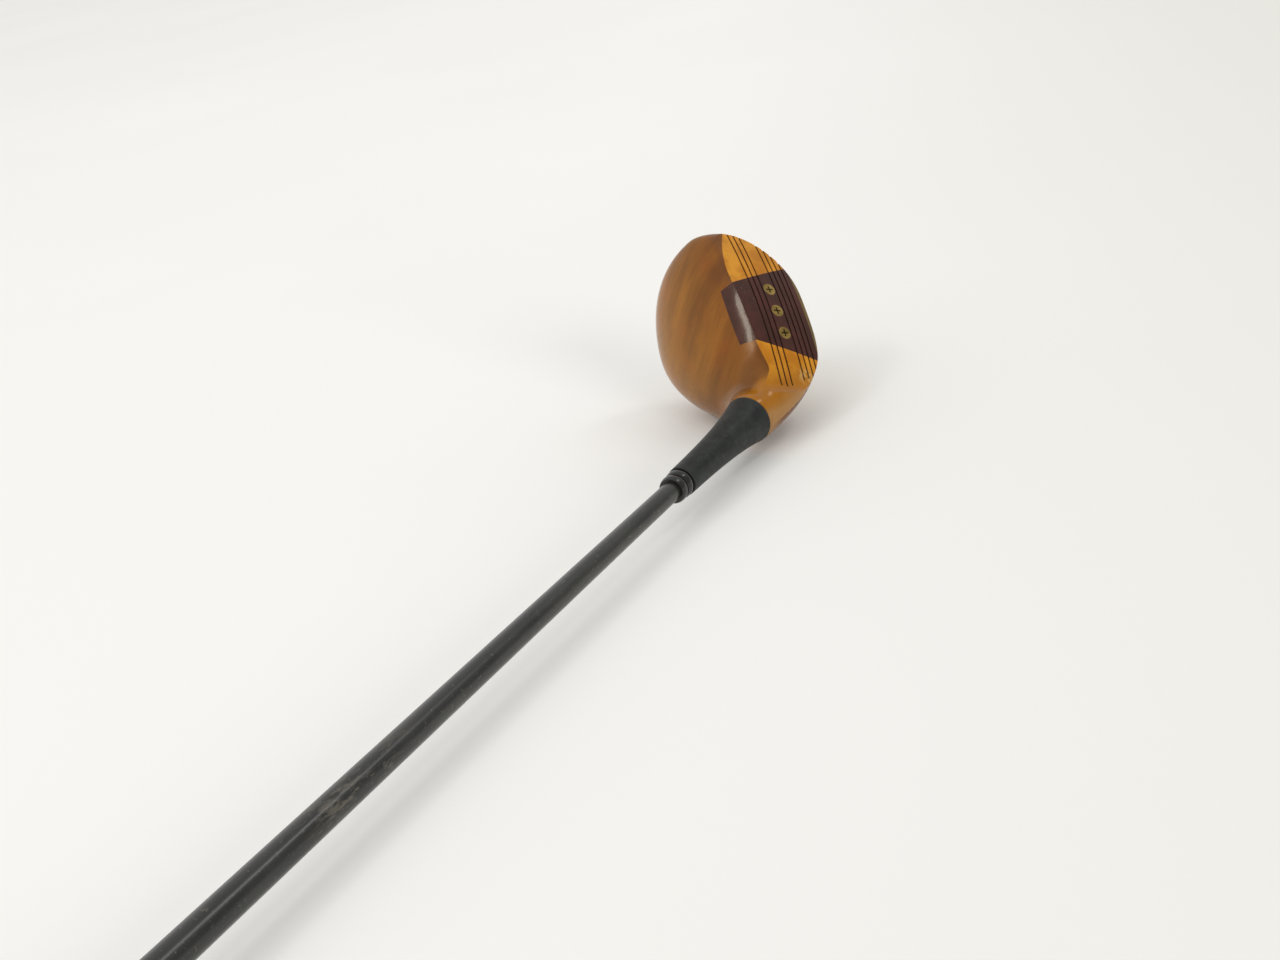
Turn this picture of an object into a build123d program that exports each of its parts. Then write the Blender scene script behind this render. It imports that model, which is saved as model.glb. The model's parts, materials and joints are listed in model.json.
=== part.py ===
from build123d import *
import os
from math import asin, cos, degrees, exp, pi, radians, sin, tan

# A left-handed persimmon driver with a graphite shaft, lying on a level surface on the
# back of its heel and the edge of its grip cap.
#
# Everything is drawn in the address frame and laid down at the end. Address frame: X runs
# from heel to toe, Y from the face to the back, Z up, with the origin on the ground under
# the middle of the face. All sizes are millimetres and degrees.

# --- The club as a whole
LIE = 56.0                  # shaft above the ground
SHAFT_X = -20.7             # where the shaft axis meets the ground
SHAFT_Y = 17.0
REST_ROLL = 33.0            # turn about the shaft when lying, 0 is toe up
REST_SLOPE = 0.15           # fall of the shaft towards the grip when lying

# --- The face: bulge and roll are one sphere
LOFT = 11.2
FACE_RADIUS = 254.0
FACE_HEIGHT = 21.2          # face centre above the ground
FACE_HEEL = -46.0           # the face cut ends here, heelward
FACE_TOE = 80.0
HEEL_COVE = 10.0            # radius where the face runs out into the neck
FACE_CUT_DEPTH = 30.0

# --- Head outline. Sections across it are fanned about a pivot above the heel, from the
# neck to the heel, and stand upright from there to the toe.
PIVOT_Z = 54.6
HEEL_X = -27.0              # also where the pivot is
MIDDLE_X = 14.0
TOE_X = 56.3
NECK_RADIUS = 11.7
NECK_Z = PIVOT_Z - (PIVOT_Z * cos(radians(LIE)) + (HEEL_X - SHAFT_X) * sin(radians(LIE)))
FAN_STEPS = 5
HEEL_STEPS = 5
TOE_STEPS = 7
SECTION_POINTS = 32

# Each measure of a section: its value at the neck, heel, middle and toe point, then three
# powers that say how it runs from heel to neck, middle to heel and middle to toe. Heights
# in the fan are as if the section had been swung upright about the pivot.
SECTION = {
    "front": (SHAFT_Y - NECK_RADIUS, -4.4, -11.4, 22.0, 1.5, 2.85, 1.09),
    "back": (SHAFT_Y + NECK_RADIUS, 51.4, 73.5, 22.0, 1.41, 1.84, 0.7),
    "bottom": (NECK_Z - NECK_RADIUS, 2.3, -1.9, 33.6, 1.83, 5.2, 1.15),
    "top": (NECK_Z + NECK_RADIUS, 39.5, 41.4, 33.6, 1.0, 1.85, 0.56),
    "crest": (SHAFT_Y, 21.9, 32.5, 22.0, 1.2, 1.3, 1.0),
    "waist": (NECK_Z, 19.5, 20.7, 33.6, 1.2, 1.5, 1.0),
    "top_front_power": (2.0, 1.67, 2.2, 2.35, 1.0, 1.5, 1.0),
    "top_back_power": (2.0, 2.1, 2.1, 2.1, 1.0, 1.0, 1.0),
    "bottom_back_power": (2.0, 2.3, 2.3, 2.3, 1.0, 1.0, 1.0),
    "bottom_front_power": (2.0, 4.7, 4.8, 1.34, 1.0, 1.5, 1.0),
}

# --- Neck, whipping and ferrule, heights along the shaft axis from the ground
NECK_RING = (3.7, 10.9)                     # (distance above the heel pivot, radius)
WHIPPING_BASE = 52.5
WHIPPING_TOP = 120.0
WHIPPING_THICKNESS = 0.7
NECK_FLARE = (6.35, 5.1, 27.0)              # end radius, flare, length in which it fades
NECK_OVERLAP = 1.5                          # the turned neck starts this deep in the head
FLARE_STEPS = 12
FERRULE_TOP = 129.5
FERRULE_RADII = (6.5, 6.25)                 # first bead, second bead
FERRULE_GROOVE = 0.6

# --- Shaft and grip, heights along the shaft axis from the ground
SHAFT_TIP = 16.0
SHAFT_TIP_RADIUS = 4.4
SHAFT_TIP_BORE = 2.4
SHAFT_TAPER_START = 130.0
SHAFT_BUTT = 1087.0
SHAFT_BUTT_RADIUS = 7.62                    # 0.600 in across
SHAFT_BUTT_BORE = 6.3
TIP_PLUG_LENGTH = 10.0
GRIP_LENGTH = 262.0
GRIP_MOUTH_RADIUS = 9.6
GRIP_BUTT_RADIUS = 13.2
GRIP_LIP = 1.2
TAPE_THICKNESS = 0.35
TAPE_GAP = 4.0                              # bare shaft inside the grip mouth
CAP_RADIUS = 14.0
CAP_HEIGHT = 5.0                            # the club is 43 in long to the top of the cap
CAP_ROUNDING = 2.0
CAP_SPIGOT = 8.0
CAP_VENT_RADIUS = 1.0

# --- Score lines: height up the face, and where each stops towards the heel
SCORE_LINES = [(7.3, -37.0), (4.2, -39.5), (1.1, -37.0),
               (-6.7, -34.0), (-9.8, -33.0), (-12.8, -33.0), (-15.8, -33.0)]
SCORE_WIDTH = 0.9
SCORE_DEPTH = 0.45
SCORE_TOE = 62.0

# --- Face insert, a keystone let into the face and over the top line
INSERT_X = 3.5
INSERT_DEPTH = 8.0
INSERT_TOP = (40.0, 8.9)                    # height up the face, half width
INSERT_BOTTOM = (-30.0, 30.4)
INSERT_SCREW_PITCH = 12.5
INSERT_SCREW_UP = -2.9
INSERT_SCREW_LENGTH = 19.0
INSERT_SCREWS = {"toe": 1, "centre": 0, "heel": -1}

# --- Flat-head cross-recess screws
SCREW_HEAD_RADIUS = 3.3
SCREW_SHANK_RADIUS = 1.6
SCREW_HEAD_ANGLE = 82.0
SCREW_POINT = 2.0
SCREW_PROUD = 0.6                           # trimmed flush with the surface
RECESS_ARM = 1.9
RECESS_WIDTH = 0.85
RECESS_DEPTH = 1.5

# --- Sole plate, let in flush, and the lead under it
PLATE_X = 4.0
PLATE_FRONT_HALF = 27.0
PLATE_REAR_HALF = 19.0
PLATE_FRONT = -20.0
PLATE_REAR = 26.0                           # the round rear end starts here
PLATE_THICKNESS = 2.0
PLATE_SCREW_LENGTH = 14.0
PLATE_SCREWS = {"front_toe": (17.0, 10.5), "front_heel": (-17.0, 10.5),
                "rear_toe": (12.0, 31.0), "rear_heel": (-12.0, 31.0)}
LEAD_RADIUS = 7.0
LEAD_HEIGHT = 10.0
LEAD_Y = 26.0

BIG = 200.0                                 # larger than the head, for cutting blocks

SHAFT_DIR = Vector(-cos(radians(LIE)), 0, sin(radians(LIE)))
SHAFT_SIDE = Vector(sin(radians(LIE)), 0, cos(radians(LIE)))
SHAFT_FOOT = Vector(SHAFT_X, SHAFT_Y, 0)
SHAFT_PLANE = Plane(origin=SHAFT_FOOT, x_dir=SHAFT_SIDE, z_dir=SHAFT_DIR)
FACE_OUT = Vector(0, -cos(radians(LOFT)), sin(radians(LOFT)))
FACE_UP = Vector(0, sin(radians(LOFT)), cos(radians(LOFT)))
FACE_CENTRE = Vector(0, 0, FACE_HEIGHT)
FACE_PLANE = Plane(origin=FACE_CENTRE, x_dir=(1, 0, 0), z_dir=FACE_OUT)
SPHERE_CENTRE = FACE_CENTRE - FACE_OUT * FACE_RADIUS


def one_solid(shape):
    """The single solid that a Boolean left."""
    solids = shape.solids()
    if len(solids) != 1:
        raise ValueError(f"expected one solid, got {len(solids)}")
    return solids[0]


# ------------------------------------------------------------------ head, outside

def measure(name, turn, x):
    """One measure of the section turned `turn` degrees towards the neck, or upright at x."""
    neck, heel, middle, toe, to_neck, to_heel, to_toe = SECTION[name]
    if turn > 0:
        return neck + (heel - neck) * (1 - turn / LIE) ** to_neck
    if x < MIDDLE_X:
        return middle + (heel - middle) * ((MIDDLE_X - x) / (MIDDLE_X - HEEL_X)) ** to_heel
    reach = (x - MIDDLE_X) / (TOE_X - MIDDLE_X)
    return toe + (middle - toe) * (1 - reach ** 2) ** (to_toe / 2)


def oval(front, back, bottom, top, crest, waist, top_front, top_back, bottom_back, bottom_front):
    """Points of a closed curve of four superellipse quarters that meet at (crest, waist)."""
    points = []
    for i in range(SECTION_POINTS):
        angle = pi / 2 + 2 * pi * i / SECTION_POINTS
        across = cos(angle)
        up = sin(angle)
        width = back - crest if across >= 0 else crest - front
        height = top - waist if up >= 0 else waist - bottom
        if up >= 0:
            power = top_back if across >= 0 else top_front
        else:
            power = bottom_back if across >= 0 else bottom_front
        reach = (abs(across / width) ** power + abs(up / height) ** power) ** (-1 / power)
        points.append((crest + reach * across, waist + reach * up))
    return points


def section(turn, x, rise=0.0, measures=None):
    """Closed smooth wire across the head, moved `rise` along the shaft from its place."""
    upward = Vector(sin(radians(turn)), 0, cos(radians(turn)))
    pivot = Vector(x, 0, PIVOT_Z) + SHAFT_DIR * rise
    points = oval(*(measures or [measure(name, turn, x) for name in SECTION]))
    path = [pivot + Vector(0, y, 0) + upward * (height - PIVOT_Z) for y, height in points]
    return Wire([Edge.make_spline(path, periodic=True)])


def neck_ring():
    """The round section just above the fan, where the turned neck takes over."""
    rise, radius = NECK_RING
    sides = [SHAFT_Y - radius, SHAFT_Y + radius, NECK_Z - radius, NECK_Z + radius]
    return section(LIE, HEEL_X, rise, [*sides, SHAFT_Y, NECK_Z, 2, 2, 2, 2])


def head_sections():
    fan = [section(LIE * (1 - i / FAN_STEPS), HEEL_X) for i in range(FAN_STEPS)]
    heel = [section(0, HEEL_X + (MIDDLE_X - HEEL_X) * i / HEEL_STEPS) for i in range(HEEL_STEPS)]
    toe = []
    for i in range(TOE_STEPS):
        reach = sin(pi / 2 * i / TOE_STEPS)
        toe.append(section(0, MIDDLE_X + (TOE_X - MIDDLE_X) * reach))
    return [neck_ring(), *fan, *heel, *toe]


def face_cutter():
    """All that lies in front of the bulged face, with a cove where it meets the heel."""
    length = FACE_TOE - FACE_HEEL
    middle = (FACE_TOE + FACE_HEEL) / 2
    block = FACE_PLANE.location * Pos(middle, 0, 0) * Box(length, BIG, 2 * FACE_CUT_DEPTH)
    cutter = block - Pos(*SPHERE_CENTRE) * Sphere(FACE_RADIUS)
    sphere_side = cutter.faces().filter_by(GeomType.SPHERE)[0]
    heel_edge = sphere_side.edges().sort_by(Axis.X)[0]
    return fillet(heel_edge, HEEL_COVE)


def below_ground():
    return Pos(0, 0, -BIG / 2) * Box(BIG, BIG, BIG)


def score_cutters():
    """Thin rings round the face sphere, one for each score line."""
    cutters = []
    for up, heel in SCORE_LINES:
        radius = (FACE_RADIUS ** 2 - up ** 2) ** 0.5
        start = asin(heel / radius)
        sweep = degrees(asin(SCORE_TOE / radius) - start)
        outward = FACE_OUT * cos(start) + Vector(1, 0, 0) * sin(start)
        plane = Plane(origin=SPHERE_CENTRE, x_dir=outward, z_dir=outward.cross(FACE_UP))
        groove = Pos(radius, up) * Rectangle(2 * SCORE_DEPTH, SCORE_WIDTH)
        axis = Axis(SPHERE_CENTRE, FACE_UP)
        cutters.append(revolve(plane.location * groove, axis, revolution_arc=sweep))
    return cutters


def head_blank():
    """The finished outside of the head up to the whipping, as if of one piece."""
    toe_point = Vertex(TOE_X, measure("crest", 0, TOE_X), measure("waist", 0, TOE_X))
    blank = Solid.make_loft([*head_sections(), toe_point])
    blank = blank - face_cutter() - below_ground()
    return one_solid(blank - score_cutters())


# ------------------------------------------------------------------ turned parts

def lathe(edges):
    """Solid turned round the shaft axis; the edges enclose (radius, height) points."""
    return one_solid(SHAFT_PLANE.location * revolve(Plane.XZ.location * make_face(edges), Axis.Z))


def whipping_radius(height):
    end, flare, fade = NECK_FLARE
    return end + flare * exp((WHIPPING_BASE - height) / fade)


def flare_curve(inset, first):
    """The flared outline from `first` up to the top of the whipping, `inset` inside it."""
    rise = (WHIPPING_TOP - first) / FLARE_STEPS
    heights = [first + rise * i for i in range(FLARE_STEPS + 1)]
    return Spline(*[(whipping_radius(height) - inset, height) for height in heights])


def turned_neck():
    first = WHIPPING_BASE - NECK_OVERLAP
    curve = flare_curve(WHIPPING_THICKNESS, first)
    return lathe([curve, Polyline(curve @ 1, (0, WHIPPING_TOP), (0, first), curve @ 0)])


def whipping():
    """Waxed thread wound over the neck, from the head to the ferrule."""
    outer = flare_curve(0, WHIPPING_BASE)
    whole = lathe([outer, Polyline(outer @ 1, (0, WHIPPING_TOP), (0, WHIPPING_BASE), outer @ 0)])
    return one_solid(whole - turned_neck())


def ferrule():
    first, second = FERRULE_RADII
    half = (FERRULE_TOP - WHIPPING_TOP) / 2
    waist = WHIPPING_TOP + half
    beads = []
    for radius, low in ((first, WHIPPING_TOP), (second, waist)):
        edge = radius - FERRULE_GROOVE
        beads.append(ThreePointArc((edge, low), (radius, low + half / 2), (edge, low + half)))
    top = beads[1] @ 1
    bottom = beads[0] @ 0
    step = Line(beads[0] @ 1, beads[1] @ 0)
    inside = Polyline(top, (SHAFT_TIP_RADIUS, FERRULE_TOP), (SHAFT_TIP_RADIUS, WHIPPING_TOP), bottom)
    return lathe([*beads, step, inside])


def shaft_radius(height):
    along = max(0.0, (height - SHAFT_TAPER_START) / (SHAFT_BUTT - SHAFT_TAPER_START))
    return SHAFT_TIP_RADIUS + (SHAFT_BUTT_RADIUS - SHAFT_TIP_RADIUS) * along


def bore_radius(height):
    along = (height - SHAFT_TIP) / (SHAFT_BUTT - SHAFT_TIP)
    return SHAFT_TIP_BORE + (SHAFT_BUTT_BORE - SHAFT_TIP_BORE) * along


def ring_outline(*points):
    return [Polyline(*points, close=True)]


def shaft():
    return lathe(ring_outline(
        (SHAFT_TIP_BORE, SHAFT_TIP), (SHAFT_TIP_RADIUS, SHAFT_TIP),
        (SHAFT_TIP_RADIUS, SHAFT_TAPER_START), (SHAFT_BUTT_RADIUS, SHAFT_BUTT),
        (SHAFT_BUTT_BORE, SHAFT_BUTT)))


def shaft_tip_plug():
    top = SHAFT_TIP + TIP_PLUG_LENGTH
    return lathe(ring_outline(
        (0, SHAFT_TIP), (SHAFT_TIP_BORE, SHAFT_TIP), (bore_radius(top), top), (0, top)))


def grip_tape():
    first = SHAFT_BUTT - GRIP_LENGTH + TAPE_GAP
    inner = shaft_radius(first)
    return lathe(ring_outline(
        (inner, first), (inner + TAPE_THICKNESS, first),
        (SHAFT_BUTT_RADIUS + TAPE_THICKNESS, SHAFT_BUTT), (SHAFT_BUTT_RADIUS, SHAFT_BUTT)))


def grip_sleeve():
    mouth = SHAFT_BUTT - GRIP_LENGTH
    first = mouth + TAPE_GAP
    inner = shaft_radius(first)
    return lathe(ring_outline(
        (shaft_radius(mouth), mouth), (GRIP_MOUTH_RADIUS - GRIP_LIP, mouth),
        (GRIP_MOUTH_RADIUS, mouth + GRIP_LIP), (GRIP_BUTT_RADIUS, SHAFT_BUTT),
        (SHAFT_BUTT_RADIUS + TAPE_THICKNESS, SHAFT_BUTT), (inner + TAPE_THICKNESS, first),
        (inner, first)))


def grip_cap():
    """Mushroom plug that closes the grip and the shaft, with a vent hole."""
    bottom = SHAFT_BUTT - CAP_SPIGOT
    top = SHAFT_BUTT + CAP_HEIGHT
    spigot = bore_radius(bottom)
    blank = lathe(ring_outline(
        (CAP_VENT_RADIUS, bottom), (spigot, bottom), (spigot, SHAFT_BUTT),
        (CAP_RADIUS, SHAFT_BUTT), (CAP_RADIUS, top), (CAP_VENT_RADIUS, top)))
    rims = blank.edges().filter_by(GeomType.CIRCLE).sort_by(SortBy.RADIUS)[-2:]
    return one_solid(fillet(rims, CAP_ROUNDING))


# ------------------------------------------------------------------ screws

def screw_blank(length):
    """Flat-head screw along -Z with its head standing a little proud of z = 0."""
    throat = (SCREW_HEAD_RADIUS - SCREW_SHANK_RADIUS) / tan(radians(SCREW_HEAD_ANGLE / 2))
    outline = Polyline(
        (0, SCREW_PROUD), (SCREW_HEAD_RADIUS, SCREW_PROUD), (SCREW_HEAD_RADIUS, 0),
        (SCREW_SHANK_RADIUS, -throat), (SCREW_SHANK_RADIUS, SCREW_POINT - length),
        (0, -length), close=True)
    return revolve(Plane.XZ.location * make_face([outline]), Axis.Z)


def cross_recess(turn):
    arm = Box(2 * RECESS_ARM, RECESS_WIDTH, 2 * RECESS_DEPTH)
    cone = Pos(0, 0, -RECESS_DEPTH) * Cone(RECESS_WIDTH / 4, RECESS_WIDTH, RECESS_DEPTH)
    return Rot(0, 0, turn) * (arm + Rot(0, 0, 90) * arm + cone)


def insert_screw_place(step):
    """Where an insert screw enters: on the face sphere and square to it."""
    along = INSERT_X + step * INSERT_SCREW_PITCH
    depth = (FACE_RADIUS ** 2 - along ** 2 - INSERT_SCREW_UP ** 2) ** 0.5 - FACE_RADIUS
    spot = FACE_PLANE.from_local_coords((along, INSERT_SCREW_UP, depth))
    return Plane(origin=spot, x_dir=(1, 0, 0), z_dir=spot - SPHERE_CENTRE).location


def plate_screw_place(across, back):
    return Plane(origin=(PLATE_X + across, back, 0), x_dir=(1, 0, 0), z_dir=(0, 0, -1)).location


# ------------------------------------------------------------------ head, inside

def insert_prism():
    """The keystone outline of the face insert, run back to the depth of its mortise."""
    top, top_half = INSERT_TOP
    bottom, bottom_half = INSERT_BOTTOM
    outline = Polyline((-top_half, top), (top_half, top), (bottom_half, bottom),
                       (-bottom_half, bottom), close=True)
    face = Pos(INSERT_X, 0, -INSERT_DEPTH) * make_face([outline])
    return extrude(FACE_PLANE.location * face, FACE_CUT_DEPTH, dir=FACE_OUT)


def plate_prism():
    """The outline of the sole plate: wide at the face, round at the back."""
    corners = [(PLATE_REAR_HALF, PLATE_REAR), (PLATE_FRONT_HALF, PLATE_FRONT),
               (-PLATE_FRONT_HALF, PLATE_FRONT), (-PLATE_REAR_HALF, PLATE_REAR)]
    sides = Polyline(*corners)
    tail = ThreePointArc(corners[3], (0, PLATE_REAR + PLATE_REAR_HALF), corners[0])
    outline = Pos(PLATE_X, 0, 0) * make_face([sides, tail])
    return Pos(0, 0, -PLATE_THICKNESS) * extrude(outline, 2 * PLATE_THICKNESS)


def lead_plug():
    return Pos(PLATE_X, LEAD_Y, PLATE_THICKNESS + LEAD_HEIGHT / 2) * Cylinder(LEAD_RADIUS, LEAD_HEIGHT)


def shaft_bore():
    """The hole for the shaft, open at the top of the neck."""
    return lathe(ring_outline(
        (0, SHAFT_TIP), (SHAFT_TIP_RADIUS, SHAFT_TIP),
        (SHAFT_TIP_RADIUS, FERRULE_TOP), (0, FERRULE_TOP)))


def head_pieces():
    """The wooden head, its insert and sole plate, and the screws that hold them."""
    blank = head_blank()
    plate = plate_prism()
    prism = insert_prism()
    insert = (blank & prism) - plate
    head = (blank - prism - plate + turned_neck()) - shaft_bore() - lead_plug()
    sole = blank & plate
    pieces = {}
    for name, step in INSERT_SCREWS.items():
        place = insert_screw_place(step)
        screw = place * screw_blank(INSERT_SCREW_LENGTH)
        insert -= screw
        head -= screw
        pieces["insert_screw_" + name] = screw - face_cutter() - place * cross_recess(0)
    for name, (across, back) in PLATE_SCREWS.items():
        place = plate_screw_place(across, back)
        screw = place * screw_blank(PLATE_SCREW_LENGTH)
        sole -= screw
        head -= screw
        pieces["sole_screw_" + name] = screw - below_ground() - place * cross_recess(across)
    return {"head_block": head, "face_insert": insert, "sole_plate": sole, **pieces}


# ------------------------------------------------------------------ laying the club down

def resting_plane():
    """The plane of the surface under the club: X along the shaft to the grip, Z up."""
    roll = radians(REST_ROLL)
    slope = radians(REST_SLOPE)
    across = SHAFT_SIDE * cos(roll) - Vector(0, 1, 0) * sin(roll)
    up = across * cos(slope) - SHAFT_DIR * sin(slope)
    along = SHAFT_DIR * cos(slope) + across * sin(slope)
    return Plane(origin=(0, 0, 0), x_dir=along, z_dir=up)


def club():
    """Every piece of the club, lying down, its origin under the middle of its box."""
    pieces = {
        **head_pieces(), "lead_plug": lead_plug(), "shaft": shaft(),
        "shaft_tip_plug": shaft_tip_plug(), "whipping": whipping(), "ferrule": ferrule(),
        "grip_tape": grip_tape(), "grip_sleeve": grip_sleeve(), "grip_cap": grip_cap(),
    }
    turned = resting_plane().location.inverse()
    lying = {name: turned * one_solid(piece) for name, piece in pieces.items()}
    box = Compound(list(lying.values())).bounding_box()
    shift = Pos(-box.center().X, -box.center().Y, -box.min.Z)
    return {name: shift * piece for name, piece in lying.items()}


os.makedirs("parts", exist_ok=True)
for node, piece in club().items():
    export_step(piece, f"parts/{node}.step")
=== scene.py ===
import json
from math import cos, exp, pi, radians, sin, sqrt

import bpy
from mathutils import Matrix, Vector


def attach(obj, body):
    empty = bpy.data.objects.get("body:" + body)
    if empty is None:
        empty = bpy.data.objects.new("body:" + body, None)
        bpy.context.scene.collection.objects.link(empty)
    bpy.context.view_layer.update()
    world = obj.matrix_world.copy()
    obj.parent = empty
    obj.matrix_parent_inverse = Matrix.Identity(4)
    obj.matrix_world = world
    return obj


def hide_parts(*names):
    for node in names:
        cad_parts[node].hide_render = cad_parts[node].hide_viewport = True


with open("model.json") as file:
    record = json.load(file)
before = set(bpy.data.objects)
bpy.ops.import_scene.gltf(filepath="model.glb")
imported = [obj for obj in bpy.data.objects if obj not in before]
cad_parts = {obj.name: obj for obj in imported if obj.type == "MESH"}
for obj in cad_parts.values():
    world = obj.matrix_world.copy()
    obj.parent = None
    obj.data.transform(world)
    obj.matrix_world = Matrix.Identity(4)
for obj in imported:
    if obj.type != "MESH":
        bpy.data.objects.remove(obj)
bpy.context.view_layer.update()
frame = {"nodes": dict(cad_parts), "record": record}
nodes = frame["nodes"]

# A left-handed wooden golf driver that lies on a pale floor. Blender works in metres. The
# materials work in the club's address frame in millimetres: X from heel to toe, Y from the
# face to the back, Z up, with the origin on the ground under the middle of the face.

MM = 0.001

# --- The club, as its CAD model has it (mm, degrees); heights are along the shaft axis
LIE = 56.0
REST_ROLL = 33.0
REST_SLOPE = 0.15
SHAFT_FOOT = Vector((-20.7, 17.0, 0.0))
SOLE_POINT = Vector((4.0, 20.0, 0.0))       # where the record's sole mount is
LOFT = 11.2
FACE_RADIUS = 254.0
FACE_CENTRE = Vector((0.0, 0.0, 21.2))
SCORE_LINES = (7.3, 4.2, 1.1, -6.7, -9.8, -12.8, -15.8)     # heights up the face
SCORE_HALF_WIDTH = 0.38
STAIN_LINE = (17.4, 23.0, 0.0098)   # height up the face, where it starts to drop, and how fast
WORN_CORNER = Vector((-31.5, 0.5, 12.5))    # chipped heel end of the leading edge
DULL_SPOT = Vector((-27.0, 11.0, 38.5))     # lacquer rubbed dull by the neck
DARK_FIGURE = Vector((28.0, 9.0, 38.0))     # a darker place in the wood, beside the insert
WHIPPING_BASE = 52.5
WHIPPING_TOP = 120.0
NECK_FLARE = (6.35, 5.1, 27.0)      # radius far up, what the foot adds, how fast that fades
WHIPPING_THICKNESS = 0.7
SHAFT_BUTT_RADIUS = 7.62
GRIP_MOUTH = (825.0, 9.6)           # (height, radius)
GRIP_BUTT = (1087.0, 13.2)
GRAIN_TURN = 128.0                  # the wood's grain, seen from above
SCUFF_HEIGHT = 352.0                # middle of the rubbed stretch of the shaft

SHAFT_DIR = Vector((-cos(radians(LIE)), 0, sin(radians(LIE))))
SHAFT_SIDE = Vector((sin(radians(LIE)), 0, cos(radians(LIE))))
FACE_OUT = Vector((0, -cos(radians(LOFT)), sin(radians(LOFT))))
FACE_UP = Vector((0, sin(radians(LOFT)), cos(radians(LOFT))))
SPHERE_CENTRE = FACE_CENTRE - FACE_OUT * FACE_RADIUS


def lying_axes():
    """Rotation from the address frame to the frame of the lying club."""
    roll = radians(REST_ROLL)
    slope = radians(REST_SLOPE)
    across = SHAFT_SIDE * cos(roll) - Vector((0, 1, 0)) * sin(roll)
    up = across * cos(slope) - SHAFT_DIR * sin(slope)
    along = SHAFT_DIR * cos(slope) + across * sin(slope)
    return Matrix((along, up.cross(along), up))


LAY = lying_axes()
SOLE_MOUNT = next(m for m in frame["record"]["mounts"] if m["name"] == "sole")
SHIFT = Vector(SOLE_MOUNT["pos_m"]) - LAY @ SOLE_POINT * MM


def lying(point):
    """A point of the address frame, in mm, where it is on the lying club, in metres."""
    return LAY @ Vector(point) * MM + SHIFT


# ------------------------------------------------------------------ node graphs

class Graph:
    """A material under construction: short calls that add a node and return its output."""

    def __init__(self, name):
        self.material = bpy.data.materials.new(name)
        self.material.use_nodes = True
        self.tree = self.material.node_tree
        self.tree.nodes.clear()

    def node(self, kind, inputs=(), **settings):
        made = self.tree.nodes.new(kind)
        for key, value in settings.items():
            setattr(made, key, value)
        for key, value in dict(inputs).items():
            self.feed(made.inputs[key], value)
        return made

    def feed(self, socket, value):
        if isinstance(value, bpy.types.NodeSocket):
            self.tree.links.new(value, socket)
        else:
            socket.default_value = value

    def math(self, operation, *values):
        return self.node("ShaderNodeMath", enumerate(values), operation=operation).outputs[0]

    def vector(self, operation, *values):
        made = self.node("ShaderNodeVectorMath", enumerate(values), operation=operation)
        scalar = operation in ("DISTANCE", "DOT_PRODUCT")
        return made.outputs["Value" if scalar else "Vector"]

    def smooth(self, value, low, high):
        """0 below low, 1 above high, smooth between; low may be the larger."""
        fed = {"Value": value, "From Min": low, "From Max": high}
        made = self.node("ShaderNodeMapRange", fed, interpolation_type="SMOOTHSTEP")
        return made.outputs[0]

    def scale(self, value, low, high):
        """Maps 0..1 to low..high."""
        fed = {"Value": value, "To Min": low, "To Max": high}
        return self.node("ShaderNodeMapRange", fed).outputs[0]

    def part(self, mask, share):
        """A mask held back to a share of its strength."""
        return self.math("MULTIPLY", mask, share)

    def mix(self, factor, first, second):
        made = self.node("ShaderNodeMix", data_type="RGBA")
        self.feed(made.inputs[0], factor)
        self.feed(made.inputs[6], first)
        self.feed(made.inputs[7], second)
        return made.outputs[2]

    def noise(self, where, scale, detail=3.0, roughness=0.5, distortion=0.0):
        fed = {"Vector": where, "Scale": scale, "Detail": detail,
               "Roughness": roughness, "Distortion": distortion}
        return self.node("ShaderNodeTexNoise", fed).outputs["Fac"]

    def cells(self, where, scale):
        fed = {"Vector": where, "Scale": scale}
        return self.node("ShaderNodeTexVoronoi", fed).outputs["Distance"]

    def stretched(self, where, rotation=(0, 0, 0), lengths=(1, 1, 1)):
        """Axes turned by `rotation`, then drawn out by `lengths`: for grain and fibres."""
        fed = {"Vector": where, "Rotation": rotation, "Scale": lengths}
        return self.node("ShaderNodeMapping", fed, vector_type="TEXTURE").outputs[0]

    def club(self):
        """Position in the address frame, in mm."""
        place = self.node("ShaderNodeTexCoord").outputs["Object"]
        back = LAY.transposed()
        fed = {"Vector": place, "Scale": (1 / MM,) * 3, "Rotation": back.to_euler(),
               "Location": -(back @ SHIFT) / MM}
        return self.node("ShaderNodeMapping", fed, vector_type="POINT").outputs[0]

    def split(self, where):
        return self.node("ShaderNodeSeparateXYZ", {"Vector": where}).outputs

    def bump(self, height, distance, below=None):
        """`distance` in mm; `below` is a normal that is already bumped."""
        fed = {"Height": height, "Distance": distance * MM}
        if below is not None:
            fed["Normal"] = below
        return self.node("ShaderNodeBump", fed).outputs[0]

    def finish(self, colour, roughness, normal=None, metallic=0.0, **fixed):
        """Adds the shader; `fixed` are plain values for its other sockets, with _ for a space."""
        fed = {"Base Color": colour, "Roughness": roughness, "Metallic": metallic}
        if normal is not None:
            fed["Normal"] = normal
        shader = self.node("ShaderNodeBsdfPrincipled", fed)
        for key, value in fixed.items():
            shader.inputs[key.replace("_", " ")].default_value = value
        output = self.node("ShaderNodeOutputMaterial")
        self.tree.links.new(shader.outputs[0], output.inputs[0])
        return self.material


def srgb(red, green, blue):
    """Scene-linear colour from display values of 0 to 255."""
    def linear(value):
        value /= 255
        return value / 12.92 if value <= 0.04045 else ((value + 0.055) / 1.055) ** 2.4
    return (linear(red), linear(green), linear(blue), 1.0)


# ------------------------------------------------------------------ materials

AMBER = (1.0, 0.86, 0.64, 1.0)      # tint that aged lacquer gives to its gloss


def face_depth(g, club):
    """How far a point is outside the face sphere; grooves and the body are negative."""
    return g.math("SUBTRACT", g.vector("DISTANCE", club, SPHERE_CENTRE), FACE_RADIUS)


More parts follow.
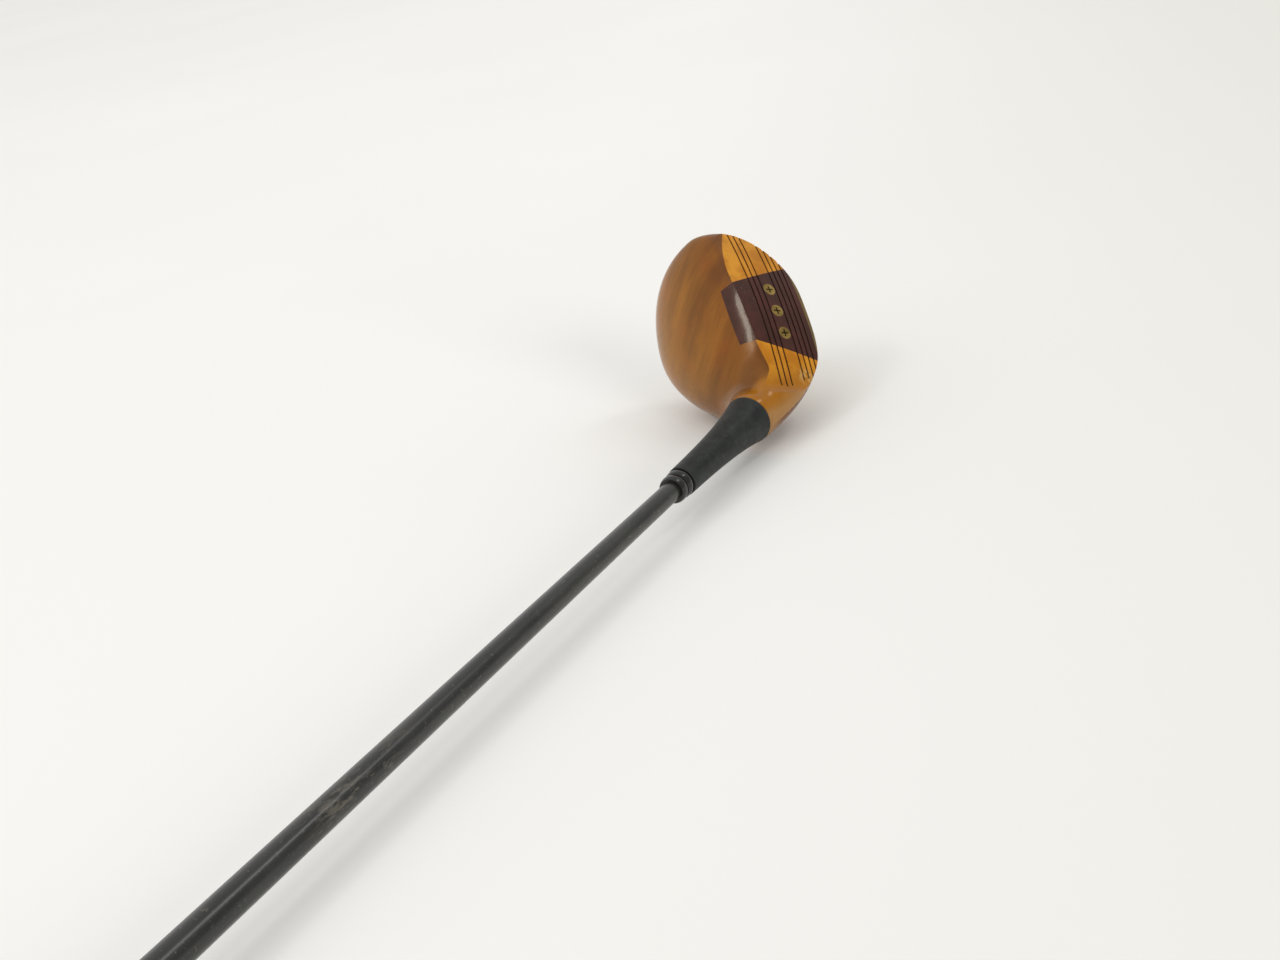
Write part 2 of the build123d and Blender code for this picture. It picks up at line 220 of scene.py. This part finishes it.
def up_the_face(g, club):
    """Height along the face from its centre, in mm."""
    return g.vector("DOT_PRODUCT", g.vector("SUBTRACT", club, FACE_CENTRE), FACE_UP)


def score_mask(g, club, depth):
    """1 in the painted score lines."""
    height = up_the_face(g, club)
    nearest = 10.0
    for line in SCORE_LINES:
        away = g.math("ABSOLUTE", g.math("SUBTRACT", height, line))
        nearest = g.math("MINIMUM", nearest, away)
    blur = 0.08
    inside = g.smooth(nearest, SCORE_HALF_WIDTH + blur, SCORE_HALF_WIDTH - blur)
    sunk = g.math("MULTIPLY", g.smooth(depth, -0.06, -0.16), g.smooth(depth, -1.2, -0.8))
    return g.math("MULTIPLY", inside, sunk)


def wood_grain(g, club):
    """(broad streaks, fine streaks, pores) of persimmon, each 0 to 1, along GRAIN_TURN."""
    along = g.stretched(club, (0, 0, radians(GRAIN_TURN)))
    drift = g.node("ShaderNodeTexNoise", {"Vector": along, "Scale": 0.02, "Detail": 2.0})
    warped = g.vector("MULTIPLY_ADD", drift.outputs["Color"], (12.0, 12.0, 12.0), along)
    broad = g.noise(g.stretched(warped, lengths=(8, 1, 1)), 0.11, 3.0, 0.55, 0.3)
    fine = g.noise(g.stretched(warped, lengths=(8, 1, 1)), 0.75, 5.0, 0.65, 0.2)
    pores = g.noise(g.stretched(warped, lengths=(11, 1, 1)), 3.4, 2.0, 0.6)
    return broad, fine, pores


def lacquered_wood():
    g = Graph("lacquered_wood")
    club = g.club()
    x, y, z = g.split(club)
    depth = face_depth(g, club)
    broad, fine, pores = wood_grain(g, club)

    stained = g.mix(g.smooth(broad, 0.28, 0.74), srgb(109, 65, 13), srgb(148, 93, 24))
    patches = g.noise(club, 0.05, 2.0, 0.5)
    stained = g.mix(g.part(g.smooth(patches, 0.45, 0.7), 0.4), stained, srgb(150, 76, 10))
    stained = g.mix(g.part(g.smooth(y, 26.0, 60.0), 0.5), stained, srgb(160, 108, 38))
    stained = g.mix(g.part(g.smooth(y, 34.0, 6.0), 0.55), stained, srgb(112, 59, 6))
    figure = g.smooth(g.vector("DISTANCE", club, DARK_FIGURE), 11.0, 2.0)
    stained = g.mix(g.part(figure, 0.4), stained, srgb(78, 36, 10))
    stained = g.mix(g.part(g.smooth(x, 0.0, -28.0), 0.35), stained, srgb(92, 54, 14))
    stained = g.mix(g.part(g.smooth(fine, 0.48, 0.8), 0.3), stained, srgb(80, 46, 14))
    stained = g.mix(g.part(g.smooth(pores, 0.6, 0.75), 0.3), stained, srgb(58, 34, 12))

    bare = g.mix(g.smooth(broad, 0.3, 0.7), srgb(168, 104, 12), srgb(199, 135, 32))
    bare = g.mix(g.part(g.smooth(x, -16.0, -44.0), 0.8), bare, srgb(136, 82, 8))
    bare = g.mix(g.part(g.smooth(fine, 0.5, 0.8), 0.3), bare, srgb(150, 84, 10))
    bare = g.mix(g.part(g.smooth(pores, 0.62, 0.75), 0.4), bare, srgb(120, 66, 14))
    # Painted reflection of the pale floor on the side of the heel that faces it.
    bare = g.mix(g.part(heel_floor_reflection(g, x), 0.6), bare, srgb(150, 116, 74))
    golden = bare_wood_zone(g, club, depth)
    colour = g.mix(golden, stained, bare)

    # Darker stain gathered along the top line, and old dirt at the foot of the face.
    beside = g.math("MULTIPLY", g.smooth(depth, -3.0, -0.3), g.math("SUBTRACT", 1.0, golden))
    colour = g.mix(g.part(beside, 0.3), colour, srgb(74, 36, 14))
    dirt = g.smooth(g.noise(club, 0.55, 4.0, 0.7), 0.5, 0.66)
    rubs = g.math("MULTIPLY", dirt, g.smooth(z, 8.0, 1.0))
    colour = g.mix(g.part(rubs, 0.5), colour, srgb(96, 74, 48))
    chips = worn_corner(g, club)
    colour = g.mix(g.part(chips, 0.5), colour, srgb(190, 160, 98))

    lines = score_mask(g, club, depth)
    colour = g.mix(lines, colour, srgb(54, 24, 10))
    nicks = g.smooth(g.cells(club, 0.14), 0.075, 0.04)
    colour = g.mix(g.part(nicks, 0.5), colour, srgb(60, 32, 16))

    under_thread = g.smooth(along_shaft(g, club), WHIPPING_TOP - 3.0, WHIPPING_TOP - 1.5)
    colour = g.mix(under_thread, colour, srgb(20, 18, 16))

    smear = g.noise(club, 0.09, 4.0, 0.6)
    roughness = g.math("ADD", g.scale(smear, 0.12, 0.24), g.math("MULTIPLY", lines, 0.4))
    roughness = g.math("ADD", roughness, g.math("MULTIPLY", chips, 0.3))
    dull = g.smooth(g.vector("DISTANCE", club, DULL_SPOT), 10.0, 5.0)
    roughness = g.math("ADD", roughness, g.math("MULTIPLY", dull, 0.3))
    height = g.math("ADD", g.math("MULTIPLY", fine, 0.25), g.math("MULTIPLY", nicks, -1.0))
    height = g.math("SUBTRACT", height, g.math("MULTIPLY", chips, 2.0))
    normal = g.bump(height, 0.03)
    ripple = g.bump(g.noise(club, 0.05, 2.0), 0.08, normal)
    return g.finish(colour, roughness, ripple, IOR=1.41, Specular_Tint=AMBER)


def heel_floor_reflection(g, x):
    """1 on the side of the heel that faces the floor the club lies on, where a reflection of the
    pale floor is painted in.
    """
    normal = g.node("ShaderNodeTexCoord").outputs["Normal"]
    facing_up = g.split(normal)[2]
    return g.math("MULTIPLY", g.smooth(facing_up, 0.6, 0.15), g.smooth(x, -26.0, -34.0))


def bare_wood_zone(g, club, depth):
    """1 where the wood is only lacquered: the face, the front of the heel and the neck."""
    x, y, z = g.split(club)
    on_face = g.smooth(depth, -0.34, -0.22)
    line, start, fall = STAIN_LINE
    toeward = g.math("MAXIMUM", g.math("SUBTRACT", x, start), 0.0)
    drop = g.math("MULTIPLY", g.math("MULTIPLY", toeward, toeward), fall)
    above = g.math("ADD", g.math("SUBTRACT", up_the_face(g, club), line), drop)
    on_face = g.math("MULTIPLY", on_face, g.smooth(above, 0.3, -0.3))
    wander = g.math("MULTIPLY", g.noise(club, 0.12, 2.0), 5.0)
    rise = g.math("MULTIPLY", g.math("SUBTRACT", z, 27.0), 0.42)
    edge = g.math("ADD", g.math("ADD", rise, 1.5), wander)
    front = g.smooth(g.math("SUBTRACT", y, edge), 2.6, -2.2)
    heel = g.math("MULTIPLY", front, g.smooth(x, -27.0, -37.0))
    up_neck = g.math("ADD", along_shaft(g, club), wander)
    neck = g.math("MULTIPLY", g.smooth(up_neck, 44.0, 52.0), g.smooth(y, 26.0, 18.0))
    return g.math("MAXIMUM", on_face, g.math("MAXIMUM", heel, g.math("MULTIPLY", neck, 0.85)))


def worn_corner(g, club):
    """1 in the chips where the lacquer has worn off the heel end of the leading edge."""
    near = g.smooth(g.vector("DISTANCE", club, WORN_CORNER), 6.5, 2.0)
    ragged = g.smooth(g.noise(club, 0.6, 4.0, 0.7), 0.47, 0.55)
    return g.math("MULTIPLY", near, ragged)


def plum_fibre():
    g = Graph("plum_fibre")
    club = g.club()
    depth = face_depth(g, club)
    cloud = g.noise(club, 0.10, 3.0, 0.6)
    fleck = g.noise(club, 1.6, 3.0, 0.7)
    colour = g.mix(g.smooth(cloud, 0.35, 0.7), srgb(50, 19, 15), srgb(66, 27, 22))
    colour = g.mix(g.part(g.smooth(fleck, 0.52, 0.8), 0.3), colour, srgb(88, 44, 34))
    lines = score_mask(g, club, depth)
    colour = g.mix(lines, colour, srgb(24, 9, 7))
    roughness = g.math("ADD", g.scale(cloud, 0.10, 0.20), g.math("MULTIPLY", lines, 0.4))
    scratches = g.noise(g.stretched(club, (0, 0.4, 0), (10, 1, 1)), 2.2, 3.0, 0.7)
    normal = g.bump(g.smooth(scratches, 0.6, 0.8), 0.012)
    ripple = g.bump(g.noise(club, 0.06, 2.0), 0.07, normal)
    return g.finish(colour, roughness, ripple, Coat_Weight=0.2, Coat_Roughness=0.05,
                    IOR=1.38, Specular_Tint=AMBER)


def brass(name, surface_depth, dull, bright):
    """Brass whose recesses, below `surface_depth`, are darker: dirt and painted shade."""
    g = Graph(name)
    club = g.club()
    depth = surface_depth(g, club)
    sunk = g.smooth(depth, -0.08, -0.3)
    tarnish = g.noise(club, 0.16, 4.0, 0.55)
    brushed = g.noise(g.stretched(club, (0, 0, 0.15), (20, 1, 1)), 3.5, 4.0, 0.7)
    colour = g.mix(g.smooth(tarnish, 0.35, 0.7), dull, bright)
    colour = g.mix(g.part(g.smooth(brushed, 0.5, 0.8), 0.3), colour, srgb(120, 100, 60))
    # Dirt and painted shade in the recesses: darker and less metallic there.
    colour = g.mix(g.part(sunk, 0.75), colour, srgb(44, 33, 18))
    roughness = g.math("ADD", g.scale(tarnish, 0.25, 0.5), g.math("MULTIPLY", sunk, 0.3))
    metallic = g.math("SUBTRACT", 0.92, g.math("MULTIPLY", sunk, 0.7))
    normal = g.bump(brushed, 0.015)
    return g.finish(colour, roughness, normal, metallic)


def below_sole(g, club):
    return g.math("MULTIPLY", g.split(club)[2], -1.0)


def thread():
    g = Graph("lacquered_thread")
    club = g.club()
    cloud = g.noise(club, 0.18, 4.0, 0.65)
    speck = g.noise(club, 1.1, 3.0, 0.7)
    colour = g.mix(g.smooth(cloud, 0.3, 0.7), srgb(11, 14, 13), srgb(31, 36, 33))
    colour = g.mix(g.part(g.smooth(speck, 0.58, 0.75), 0.4), colour, srgb(84, 86, 80))
    roughness = g.scale(g.noise(club, 0.4, 3.0), 0.34, 0.6)
    normal = g.bump(speck, 0.05)
    return g.finish(colour, roughness, normal, Specular_IOR_Level=0.3)


def along_shaft(g, club):
    """Height along the shaft axis from the ground, in mm."""
    return g.vector("DOT_PRODUCT", g.vector("SUBTRACT", club, SHAFT_FOOT), SHAFT_DIR)


def graphite():
    g = Graph("graphite_shaft")
    club = g.club()
    height = along_shaft(g, club)
    straight = g.stretched(g.vector("SUBTRACT", club, SHAFT_FOOT), (0, radians(LIE - 90), 0))
    fibres = g.noise(g.stretched(straight, lengths=(1, 1, 60)), 2.4, 4.0, 0.7)
    cloud = g.noise(g.stretched(straight, lengths=(1, 1, 3)), 0.08, 4.0, 0.6)
    speck = g.noise(straight, 0.9, 3.0, 0.75)
    colour = g.mix(g.smooth(cloud, 0.35, 0.7), srgb(22, 23, 21), srgb(40, 40, 36))
    colour = g.mix(g.part(g.smooth(fibres, 0.5, 0.8), 0.3), colour, srgb(66, 65, 58))
    colour = g.mix(g.part(g.smooth(speck, 0.64, 0.74), 0.6), colour, srgb(120, 116, 104))
    chipped = g.smooth(g.noise(straight, 0.42, 4.0, 0.7), 0.60, 0.68)
    handled = g.smooth(height, 620.0, 420.0)
    worn = g.math("MULTIPLY", chipped, handled)
    colour = g.mix(g.part(worn, 0.25), colour, srgb(112, 110, 92))
    scuffed = g.smooth(g.math("ABSOLUTE", g.math("SUBTRACT", height, SCUFF_HEIGHT)), 34.0, 8.0)
    rub = g.noise(g.stretched(straight, lengths=(1, 1, 4)), 0.5, 4.0, 0.7)
    scuff = g.math("MULTIPLY", scuffed, g.smooth(rub, 0.5, 0.64))
    colour = g.mix(g.part(scuff, 0.38), colour, srgb(122, 116, 102))
    roughness = g.math("ADD", g.scale(cloud, 0.26, 0.4), g.math("MULTIPLY", scuff, 0.25))
    normal = g.bump(fibres, 0.03)
    return g.finish(colour, roughness, normal, Coat_Weight=0.4, Coat_Roughness=0.2,
                    Specular_IOR_Level=0.35)


def moulded(name, dark, light, low, high, grit):
    """Moulded plastic or rubber, a little uneven in colour and gloss."""
    g = Graph(name)
    club = g.club()
    cloud = g.noise(club, 0.2, 4.0, 0.6)
    fine = g.noise(club, 2.4, 3.0, 0.7)
    colour = g.mix(g.smooth(cloud, 0.3, 0.7), dark, light)
    colour = g.mix(g.part(g.smooth(fine, 0.6, 0.8), 0.3), colour, srgb(84, 82, 78))
    return g.finish(colour, g.scale(cloud, low, high), g.bump(fine, grit))


def cast_lead():
    g = Graph("cast_lead")
    club = g.club()
    cloud = g.noise(club, 0.4, 4.0, 0.6)
    colour = g.mix(cloud, srgb(92, 94, 98), srgb(130, 132, 136))
    return g.finish(colour, g.scale(cloud, 0.5, 0.7), g.bump(cloud, 0.1), 0.7)


def cork():
    g = Graph("cork")
    club = g.club()
    grains = g.cells(club, 0.9)
    colour = g.mix(grains, srgb(186, 146, 98), srgb(120, 82, 46))
    return g.finish(colour, 0.85, g.bump(grains, 0.2))


def paper_tape():
    g = Graph("paper_tape")
    club = g.club()
    creases = g.noise(club, 0.8, 4.0, 0.7)
    colour = g.mix(creases, srgb(190, 178, 146), srgb(214, 204, 176))
    return g.finish(colour, 0.8, g.bump(creases, 0.05))


# ------------------------------------------------------------------ pieces made here

def turned_mesh(name, rows, steps, reach):
    """Closed skin round the shaft axis, modelled in place.

    `rows` lists (height, radius) round the outline, and `reach(height, radius, angle)` says
    how far the skin really is from the axis there.
    """
    across = SHAFT_DIR.cross(SHAFT_SIDE)
    points = []
    for height, radius in rows:
        for step in range(steps):
            angle = 2 * pi * step / steps
            side = SHAFT_SIDE * cos(angle) + across * sin(angle)
            out = side * reach(height, radius, angle)
            points.append(lying(SHAFT_FOOT + SHAFT_DIR * height + out))
    faces = []
    for row in range(len(rows)):
        after = (row + 1) % len(rows)
        for step in range(steps):
            turn = (step + 1) % steps
            faces.append((row * steps + step, row * steps + turn,
                          after * steps + turn, after * steps + step))
    mesh = bpy.data.meshes.new(name)
    mesh.from_pydata(points, [], faces)
    mesh.validate()
    made = bpy.data.objects.new(name, mesh)
    bpy.context.collection.objects.link(made)
    mesh.shade_smooth()
    return made


def neck_radius(height):
    end, flare, fade = NECK_FLARE
    return end + flare * exp((WHIPPING_BASE - height) / fade)


THREAD_PITCH = 0.75
THREAD_RELIEF = 0.07
THREAD_ROWS = 6             # rows of the mesh to each turn of thread
WHIPPING_STEPS = 56
WHIPPING_EDGE = 0.35        # rounding where the winding meets the wood


def thread_reach(height, radius, angle):
    """Turns of thread: round ridges that climb in a helix, sunk at both ends."""
    turn = (height / THREAD_PITCH - angle / (2 * pi)) % 1
    from_end = min(height - WHIPPING_BASE, WHIPPING_TOP - height)
    rounded = WHIPPING_EDGE * (1 - min(1.0, from_end / WHIPPING_EDGE)) ** 2
    return radius - rounded - THREAD_RELIEF * (1 - sqrt(abs(sin(pi * turn))))


def make_whipping():
    length = WHIPPING_TOP - WHIPPING_BASE
    count = round(length / THREAD_PITCH) * THREAD_ROWS
    heights = [WHIPPING_BASE + length * i / count for i in range(count + 1)]
    outside = [(height, neck_radius(height)) for height in heights]
    inside = [(height, neck_radius(height) - WHIPPING_THICKNESS + 0.02)
              for height in heights[::-THREAD_ROWS * 3]]

    def reach(height, radius, angle):
        if radius < neck_radius(height) - WHIPPING_EDGE:
            return radius
        return thread_reach(height, radius, angle)

    return turned_mesh("wound_thread", outside + inside, WHIPPING_STEPS, reach)


GRIP_ROWS = 420
GRIP_STEPS = 112
GRIP_LIP = 1.2              # rounding of the mouth, along the shaft
MOUTH_ROUND = ((0.0, 8.0), (0.15, 8.7), (0.55, 9.25))   # (from the mouth, radius) of the lip
GRIP_BORE = ((4.1, 7.2), (4.0, 6.9), (0.0, 6.76))       # the same inside, past the tape's end
BUTT_CLEARANCE = 0.36       # from the shaft to the bore at the butt, where the tape is
GRIP_GROOVE = 0.45
RING_GROOVES = (4.0, 7.0, 10.0, 246.0, 250.0, 254.0)    # distances from the mouth
KNURLED = ((18.0, 112.0), (126.0, 238.0))               # stretches with crossed grooves
KNURL_STARTS = 12
KNURL_LEAD = 66.0


def groove(away, half):
    """Depth, 0 to 1, of a round-bottomed groove at `away` from its middle."""
    return max(0.0, 1 - (away / half) ** 2)


def grip_reach(height, radius, angle):
    """Moulded relief of the grip: rings near its ends and two diamond-cut stretches."""
    along = height - GRIP_MOUTH[0]
    depth = max(groove(along - ring, 0.9) for ring in RING_GROOVES)
    for first, last in KNURLED:
        if first < along < last:
            fade = min(1.0, (along - first) / 2.5, (last - along) / 2.5)
            for hand in (1, -1):
                turn = (along / KNURL_LEAD * KNURL_STARTS
                        + hand * KNURL_STARTS * angle / (2 * pi)) % 1
                away = (turn - 0.5) * KNURL_LEAD / KNURL_STARTS
                depth = max(depth, fade * groove(away, 0.95))
    return radius - GRIP_GROOVE * depth


def make_grip():
    (low, thin), (high, thick) = GRIP_MOUTH, GRIP_BUTT
    start = low + GRIP_LIP
    slope = (thick - thin) / (high - start)

    def skin(height):
        return thin + slope * (height - start)

    heights = [start + (high - start) * i / GRIP_ROWS for i in range(GRIP_ROWS + 1)]
    outside = [(height, skin(height)) for height in heights]
    bore = [(high, SHAFT_BUTT_RADIUS + BUTT_CLEARANCE)]
    bore += [(low + away, radius) for away, radius in GRIP_BORE]
    mouth = [(low + away, radius) for away, radius in MOUTH_ROUND]

    def reach(height, radius, angle):
        on_skin = abs(radius - skin(height)) < 0.01
        return grip_reach(height, radius, angle) if on_skin else radius

    return turned_mesh("moulded_grip", mouth + outside + bore, GRIP_STEPS, reach)


# ------------------------------------------------------------------ finishes on the pieces

def give(node, material):
    """Puts a material on a CAD node in place of what it has."""
    piece = nodes[node]
    piece.data.materials.clear()
    piece.data.materials.append(material)


def dress_cad_nodes():
    wood = lacquered_wood()
    insert = plum_fibre()
    face_brass = brass("face_brass", face_depth, srgb(122, 100, 50), srgb(164, 138, 78))
    sole_brass = brass("sole_brass", below_sole, srgb(166, 136, 78), srgb(190, 158, 94))
    give("head_block", wood)
    give("face_insert", insert)
    for name in nodes:
        if name.startswith("insert_screw"):
            give(name, face_brass)
        elif name.startswith("sole_"):
            give(name, sole_brass)
    give("lead_plug", cast_lead())
    give("shaft", graphite())
    give("shaft_tip_plug", cork())
    give("ferrule", moulded("ferrule_plastic", srgb(10, 10, 10), srgb(24, 23, 22),
                            0.1, 0.26, 0.01))
    give("grip_tape", paper_tape())
    give("grip_cap", moulded("cap_plastic", srgb(28, 28, 28), srgb(46, 45, 43),
                             0.35, 0.55, 0.04))


def add_made_pieces():
    wound = make_whipping()
    wound.data.materials.append(thread())
    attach(wound, "root")
    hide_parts("whipping")
    grip = make_grip()
    rubber = moulded("grip_rubber", srgb(30, 30, 30), srgb(46, 45, 44), 0.5, 0.75, 0.08)
    grip.data.materials.append(rubber)
    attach(grip, "root")
    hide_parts("grip_sleeve")


# ------------------------------------------------------------------ floor, light, camera

FLOOR_SIZE = 30.0                                   # metres
CAMERA_SPOT = Vector((-363.1, -417.8, 574.5))       # address frame, mm, like the aim
CAMERA_AIM = Vector((-82.5, 27.4, 112.9))
CAMERA_TOP = Vector((0.879, -0.469, 0.082))         # the way the top of the picture points
CAMERA_LENS = 45.86                                 # mm
LAMP_COLOUR = (1.0, 0.99, 0.97)
WALL_COLOUR = (1.0, 0.993, 0.98, 1)
BRIGHT_SIDE = Vector((0.1, -0.85, 0.45))            # where the studio walls are lightest
WORLD_RANGE = (0.41, 0.92)                          # radiance of the far side and that side
HEAD_MIDDLE = (0, 20, 20)                           # what the softboxes point at
SOFTBOX_DISTANCE = 5.0                              # from there, in metres
# Each softbox: name, towards it, the way its length runs, length, width (m), power (W)
SOFTBOXES = (
    ("key", Vector((0.60, -0.36, 0.71)), Vector((0.63, 0.76, -0.16)), 1.9, 0.36, 21.0),
    ("strip", Vector((-0.42, 0.43, 0.79)), Vector((0.88, 0.0, 0.47)), 1.7, 0.8, 22.0),
)
# Each sun: name, towards it, apparent width in degrees, irradiance (W/m2), seen in gloss
SUNS = (
    ("key_bounce", Vector((0.60, -0.14, 0.70)), 36.0, 0.16, False),
    ("fill", Vector((0.49, 0.80, 0.27)), 22.0, 1.25, True),
)


def pale_floor():
    g = Graph("pale_paper")
    place = g.node("ShaderNodeTexCoord").outputs["Object"]
    cloud = g.noise(place, 1.6, 3.0, 0.5)
    tooth = g.noise(place, 420.0, 2.0, 0.5)
    colour = g.mix(cloud, srgb(241, 240, 237), srgb(246, 246, 244))
    x, y = g.split(place)[:2]
    # Painted shade: the paper turns greyer towards one side, where the light falls off.
    shaded_side = g.math("SUBTRACT", y, g.math("MULTIPLY", x, 0.4))
    colour = g.mix(g.part(g.smooth(shaded_side, -0.05, 1.0), 0.9), colour, srgb(222, 220, 214))
    return g.finish(colour, 0.9, g.bump(tooth, 0.02), Specular_IOR_Level=0.2)


def add_floor():
    mesh = bpy.data.meshes.new("floor")
    half = FLOOR_SIZE / 2
    mesh.from_pydata([(-half, -half, 0), (half, -half, 0), (half, half, 0), (-half, half, 0)],
                     [], [(0, 1, 2, 3)])
    floor = bpy.data.objects.new("floor", mesh)
    bpy.context.collection.objects.link(floor)
    floor.data.materials.append(pale_floor())


def add_world():
    """Plain walls of light, a smooth change from one side of the studio to the other."""
    world = bpy.data.worlds.new("studio")
    bpy.context.scene.world = world
    world.use_nodes = True
    tree = world.node_tree
    background = tree.nodes["Background"]
    background.inputs["Color"].default_value = WALL_COLOUR
    towards = tree.nodes.new("ShaderNodeVectorMath")
    towards.operation = "DOT_PRODUCT"
    towards.inputs[1].default_value = BRIGHT_SIDE.normalized()
    place = tree.nodes.new("ShaderNodeTexCoord")
    tree.links.new(place.outputs["Generated"], towards.inputs[0])
    spread = tree.nodes.new("ShaderNodeMapRange")
    spread.interpolation_type = "SMOOTHSTEP"
    limits = zip(("From Min", "From Max", "To Min", "To Max"), (-0.9, 0.9, *WORLD_RANGE))
    for key, value in limits:
        spread.inputs[key].default_value = value
    tree.links.new(towards.outputs["Value"], spread.inputs["Value"])
    tree.links.new(spread.outputs[0], background.inputs["Strength"])


def add_lamp(name, kind, energy):
    """A light and its object, linked; returns both."""
    lamp = bpy.data.lights.new(name, kind)
    lamp.energy = energy
    lamp.color = LAMP_COLOUR
    holder = bpy.data.objects.new(name, lamp)
    bpy.context.collection.objects.link(holder)
    return lamp, holder


def add_suns():
    for name, way, width, irradiance, in_gloss in SUNS:
        lamp, holder = add_lamp(name, "SUN", irradiance)
        lamp.angle = radians(width)
        holder.rotation_euler = (-way).to_track_quat("-Z", "Y").to_euler()
        holder.visible_glossy = in_gloss


def add_softboxes():
    for name, towards, length_way, length, width, power in SOFTBOXES:
        lamp, holder = add_lamp(name, "AREA", power)
        lamp.shape = "RECTANGLE"
        lamp.size = length
        lamp.size_y = width
        back = towards.normalized()
        side = back.cross(length_way).normalized()
        turn = Matrix((side.cross(back), side, back)).transposed()
        spot = lying(HEAD_MIDDLE) + back * SOFTBOX_DISTANCE
        holder.matrix_world = Matrix.Translation(spot) @ turn.to_4x4()


def add_camera():
    lens = bpy.data.cameras.new("camera")
    lens.lens = CAMERA_LENS
    lens.clip_start = 0.01
    lens.clip_end = 100
    camera = bpy.data.objects.new("camera", lens)
    back = (LAY @ (CAMERA_SPOT - CAMERA_AIM)).normalized()
    right = (LAY @ CAMERA_TOP).cross(back).normalized()
    turn = Matrix((right, back.cross(right), back)).transposed()
    camera.matrix_world = Matrix.Translation(lying(CAMERA_SPOT)) @ turn.to_4x4()
    bpy.context.collection.objects.link(camera)
    bpy.context.scene.camera = camera


dress_cad_nodes()
add_made_pieces()
add_floor()
add_world()
add_suns()
add_softboxes()
add_camera()
bpy.context.scene.view_settings.view_transform = "Standard"
